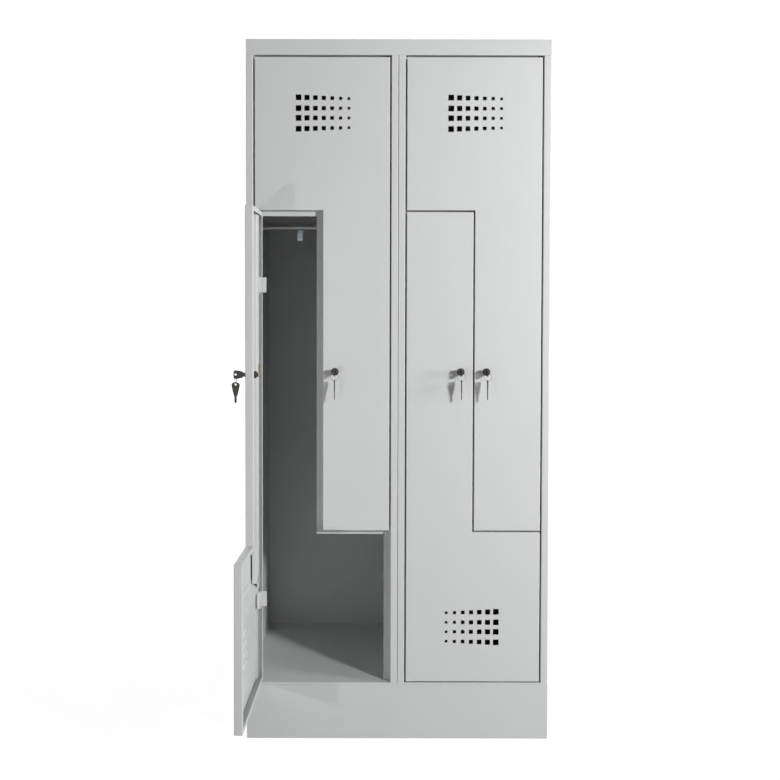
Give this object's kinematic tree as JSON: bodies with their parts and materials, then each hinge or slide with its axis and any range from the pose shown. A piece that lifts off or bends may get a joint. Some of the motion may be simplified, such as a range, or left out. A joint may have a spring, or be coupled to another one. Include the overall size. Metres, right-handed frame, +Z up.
{
  "type": "z locker",
  "caption": "Steel Z locker on a plinth: two columns with interlocking L-shaped doors, vents, cam locks with keys, hanging rails and hooks.",
  "frame": {"origin": "on the floor at the middle of the footprint of body and plinth, on the underside of the plinth's centre rail", "axes": "+X to the right as seen from the front, -Y out of the front, +Y to the wall behind, +Z up"},
  "size_m": [0.819, 0.8411, 1.85],
  "materials": {
    "carcass_paint": "satin light grey powder coat",
    "door_paint": "satin light grey powder coat",
    "inside_paint": "satin light grey powder coat",
    "hinge_paint": "satin light grey powder coat",
    "rail_steel": "zinc-plated steel tube",
    "hook_steel": "bright zinc-plated steel strap",
    "lock_chrome": "polished nickel plating",
    "lock_brass": "dull brass",
    "key_steel": "nickel-plated, lightly scuffed"
  },
  "bodies": {
    "carcass": {"left_side_panel": "carcass_paint", "left_centre_wall": "carcass_paint", "right_centre_wall": "carcass_paint", "right_side_panel": "carcass_paint", "back_panel": "carcass_paint", "top_panel": "carcass_paint", "floor_panel": "carcass_paint", "plinth_front": "carcass_paint", "plinth_surround": "carcass_paint", "plinth_centre_rail": "carcass_paint", "left_upper_shelf": "inside_paint", "left_divider": "inside_paint", "left_lower_shelf": "inside_paint", "right_upper_shelf": "inside_paint", "right_divider": "inside_paint", "right_lower_shelf": "inside_paint", "left_lower_rail": "rail_steel", "left_lower_hinge_leaf_low": "hinge_paint", "left_lower_hinge_leaf_high": "hinge_paint", "left_upper_rail": "rail_steel", "left_upper_hinge_leaf_low": "hinge_paint", "left_upper_hinge_leaf_high": "hinge_paint", "right_lower_rail": "rail_steel", "right_lower_hinge_leaf_low": "hinge_paint", "right_lower_hinge_leaf_high": "hinge_paint", "right_upper_rail": "rail_steel", "right_upper_hinge_leaf_low": "hinge_paint", "right_upper_hinge_leaf_high": "hinge_paint"},
    "left_lower_hook_body": {"left_lower_coat_hook": "hook_steel"},
    "left_lower_door_assembly": {"left_lower_door": "door_paint", "left_lower_door_stiffener": "door_paint", "left_lower_lock_body": "lock_chrome"},
    "left_lower_lock_core": {"left_lower_lock_plug": "lock_brass", "left_lower_key": "key_steel"},
    "left_lower_key_set": {"left_lower_key_ring": "key_steel", "left_lower_spare_key": "key_steel"},
    "left_upper_hook_body": {"left_upper_coat_hook": "hook_steel"},
    "left_upper_door_assembly": {"left_upper_door": "door_paint", "left_upper_door_stiffener": "door_paint", "left_upper_lock_body": "lock_chrome"},
    "left_upper_lock_core": {"left_upper_lock_plug": "lock_brass", "left_upper_key": "key_steel"},
    "left_upper_key_set": {"left_upper_key_ring": "key_steel", "left_upper_spare_key": "key_steel"},
    "right_lower_hook_body": {"right_lower_coat_hook": "hook_steel"},
    "right_lower_door_assembly": {"right_lower_door": "door_paint", "right_lower_door_stiffener": "door_paint", "right_lower_lock_body": "lock_chrome"},
    "right_lower_lock_core": {"right_lower_lock_plug": "lock_brass", "right_lower_key": "key_steel"},
    "right_lower_key_set": {"right_lower_key_ring": "key_steel", "right_lower_spare_key": "key_steel"},
    "right_upper_hook_body": {"right_upper_coat_hook": "hook_steel"},
    "right_upper_door_assembly": {"right_upper_door": "door_paint", "right_upper_door_stiffener": "door_paint", "right_upper_lock_body": "lock_chrome"},
    "right_upper_lock_core": {"right_upper_lock_plug": "lock_brass", "right_upper_key": "key_steel"},
    "right_upper_key_set": {"right_upper_key_ring": "key_steel", "right_upper_spare_key": "key_steel"}
  },
  "joints": [
    {"name": "left_lower_door_swing", "type": "hinge", "parent": "carcass", "child": "left_lower_door_assembly", "pos_m": [-0.371, -0.2425, 0.9], "axis": [0, 0, 1], "range_deg": [-14.5, 90.5]},
    {"name": "left_lower_lock_turn", "type": "hinge", "parent": "left_lower_door_assembly", "child": "left_lower_lock_core", "pos_m": [-0.3797, -0.37943, 0.97875], "axis": [1, -0.0087, 0], "range_deg": [0, 90]},
    {"name": "left_lower_key_set_swing", "type": "hinge", "parent": "left_lower_lock_core", "child": "left_lower_key_set", "pos_m": [-0.40849, -0.37918, 0.97705], "axis": [0.0087, 1, 0], "range_deg": [-20, 75]},
    {"name": "left_lower_hook_slide", "type": "slide", "parent": "carcass", "child": "left_lower_hook_body", "axis": [1, 0, 0], "range_m": [-0.105, 0.065]},
    {"name": "left_upper_door_swing", "type": "hinge", "parent": "carcass", "child": "left_upper_door_assembly", "pos_m": [-0.029, -0.2425, 0.9], "axis": [0, 0, 1], "range_deg": [0, 105]},
    {"name": "left_upper_lock_turn", "type": "hinge", "parent": "left_upper_door_assembly", "child": "left_upper_lock_core", "pos_m": [-0.166, -0.25, 0.97875], "axis": [0, -1, 0], "range_deg": [0, 90]},
    {"name": "left_upper_key_set_swing", "type": "hinge", "parent": "left_upper_lock_core", "child": "left_upper_key_set", "pos_m": [-0.166, -0.2788, 0.97705], "axis": [-1, 0, 0], "range_deg": [-20, 75]},
    {"name": "left_upper_hook_slide", "type": "slide", "parent": "carcass", "child": "left_upper_hook_body", "axis": [1, 0, 0], "range_m": [-0.265, 0.105]},
    {"name": "right_lower_door_swing", "type": "hinge", "parent": "carcass", "child": "right_lower_door_assembly", "pos_m": [0.029, -0.2425, 0.9], "axis": [0, 0, 1], "range_deg": [-105, 0]},
    {"name": "right_lower_lock_turn", "type": "hinge", "parent": "right_lower_door_assembly", "child": "right_lower_lock_core", "pos_m": [0.166, -0.25, 0.97875], "axis": [0, 1, 0], "range_deg": [0, 90]},
    {"name": "right_lower_key_set_swing", "type": "hinge", "parent": "right_lower_lock_core", "child": "right_lower_key_set", "pos_m": [0.166, -0.2788, 0.97705], "axis": [-1, 0, 0], "range_deg": [-20, 75]},
    {"name": "right_lower_hook_slide", "type": "slide", "parent": "carcass", "child": "right_lower_hook_body", "axis": [1, 0, 0], "range_m": [-0.105, 0.065]},
    {"name": "right_upper_door_swing", "type": "hinge", "parent": "carcass", "child": "right_upper_door_assembly", "pos_m": [0.371, -0.2425, 0.9], "axis": [0, 0, 1], "range_deg": [0, 105]},
    {"name": "right_upper_lock_turn", "type": "hinge", "parent": "right_upper_door_assembly", "child": "right_upper_lock_core", "pos_m": [0.234, -0.25, 0.97875], "axis": [0, -1, 0], "range_deg": [0, 90]},
    {"name": "right_upper_key_set_swing", "type": "hinge", "parent": "right_upper_lock_core", "child": "right_upper_key_set", "pos_m": [0.234, -0.2788, 0.97705], "axis": [-1, 0, 0], "range_deg": [-20, 75]},
    {"name": "right_upper_hook_slide", "type": "slide", "parent": "carcass", "child": "right_upper_hook_body", "axis": [1, 0, 0], "range_m": [-0.265, 0.105]}
  ]
}
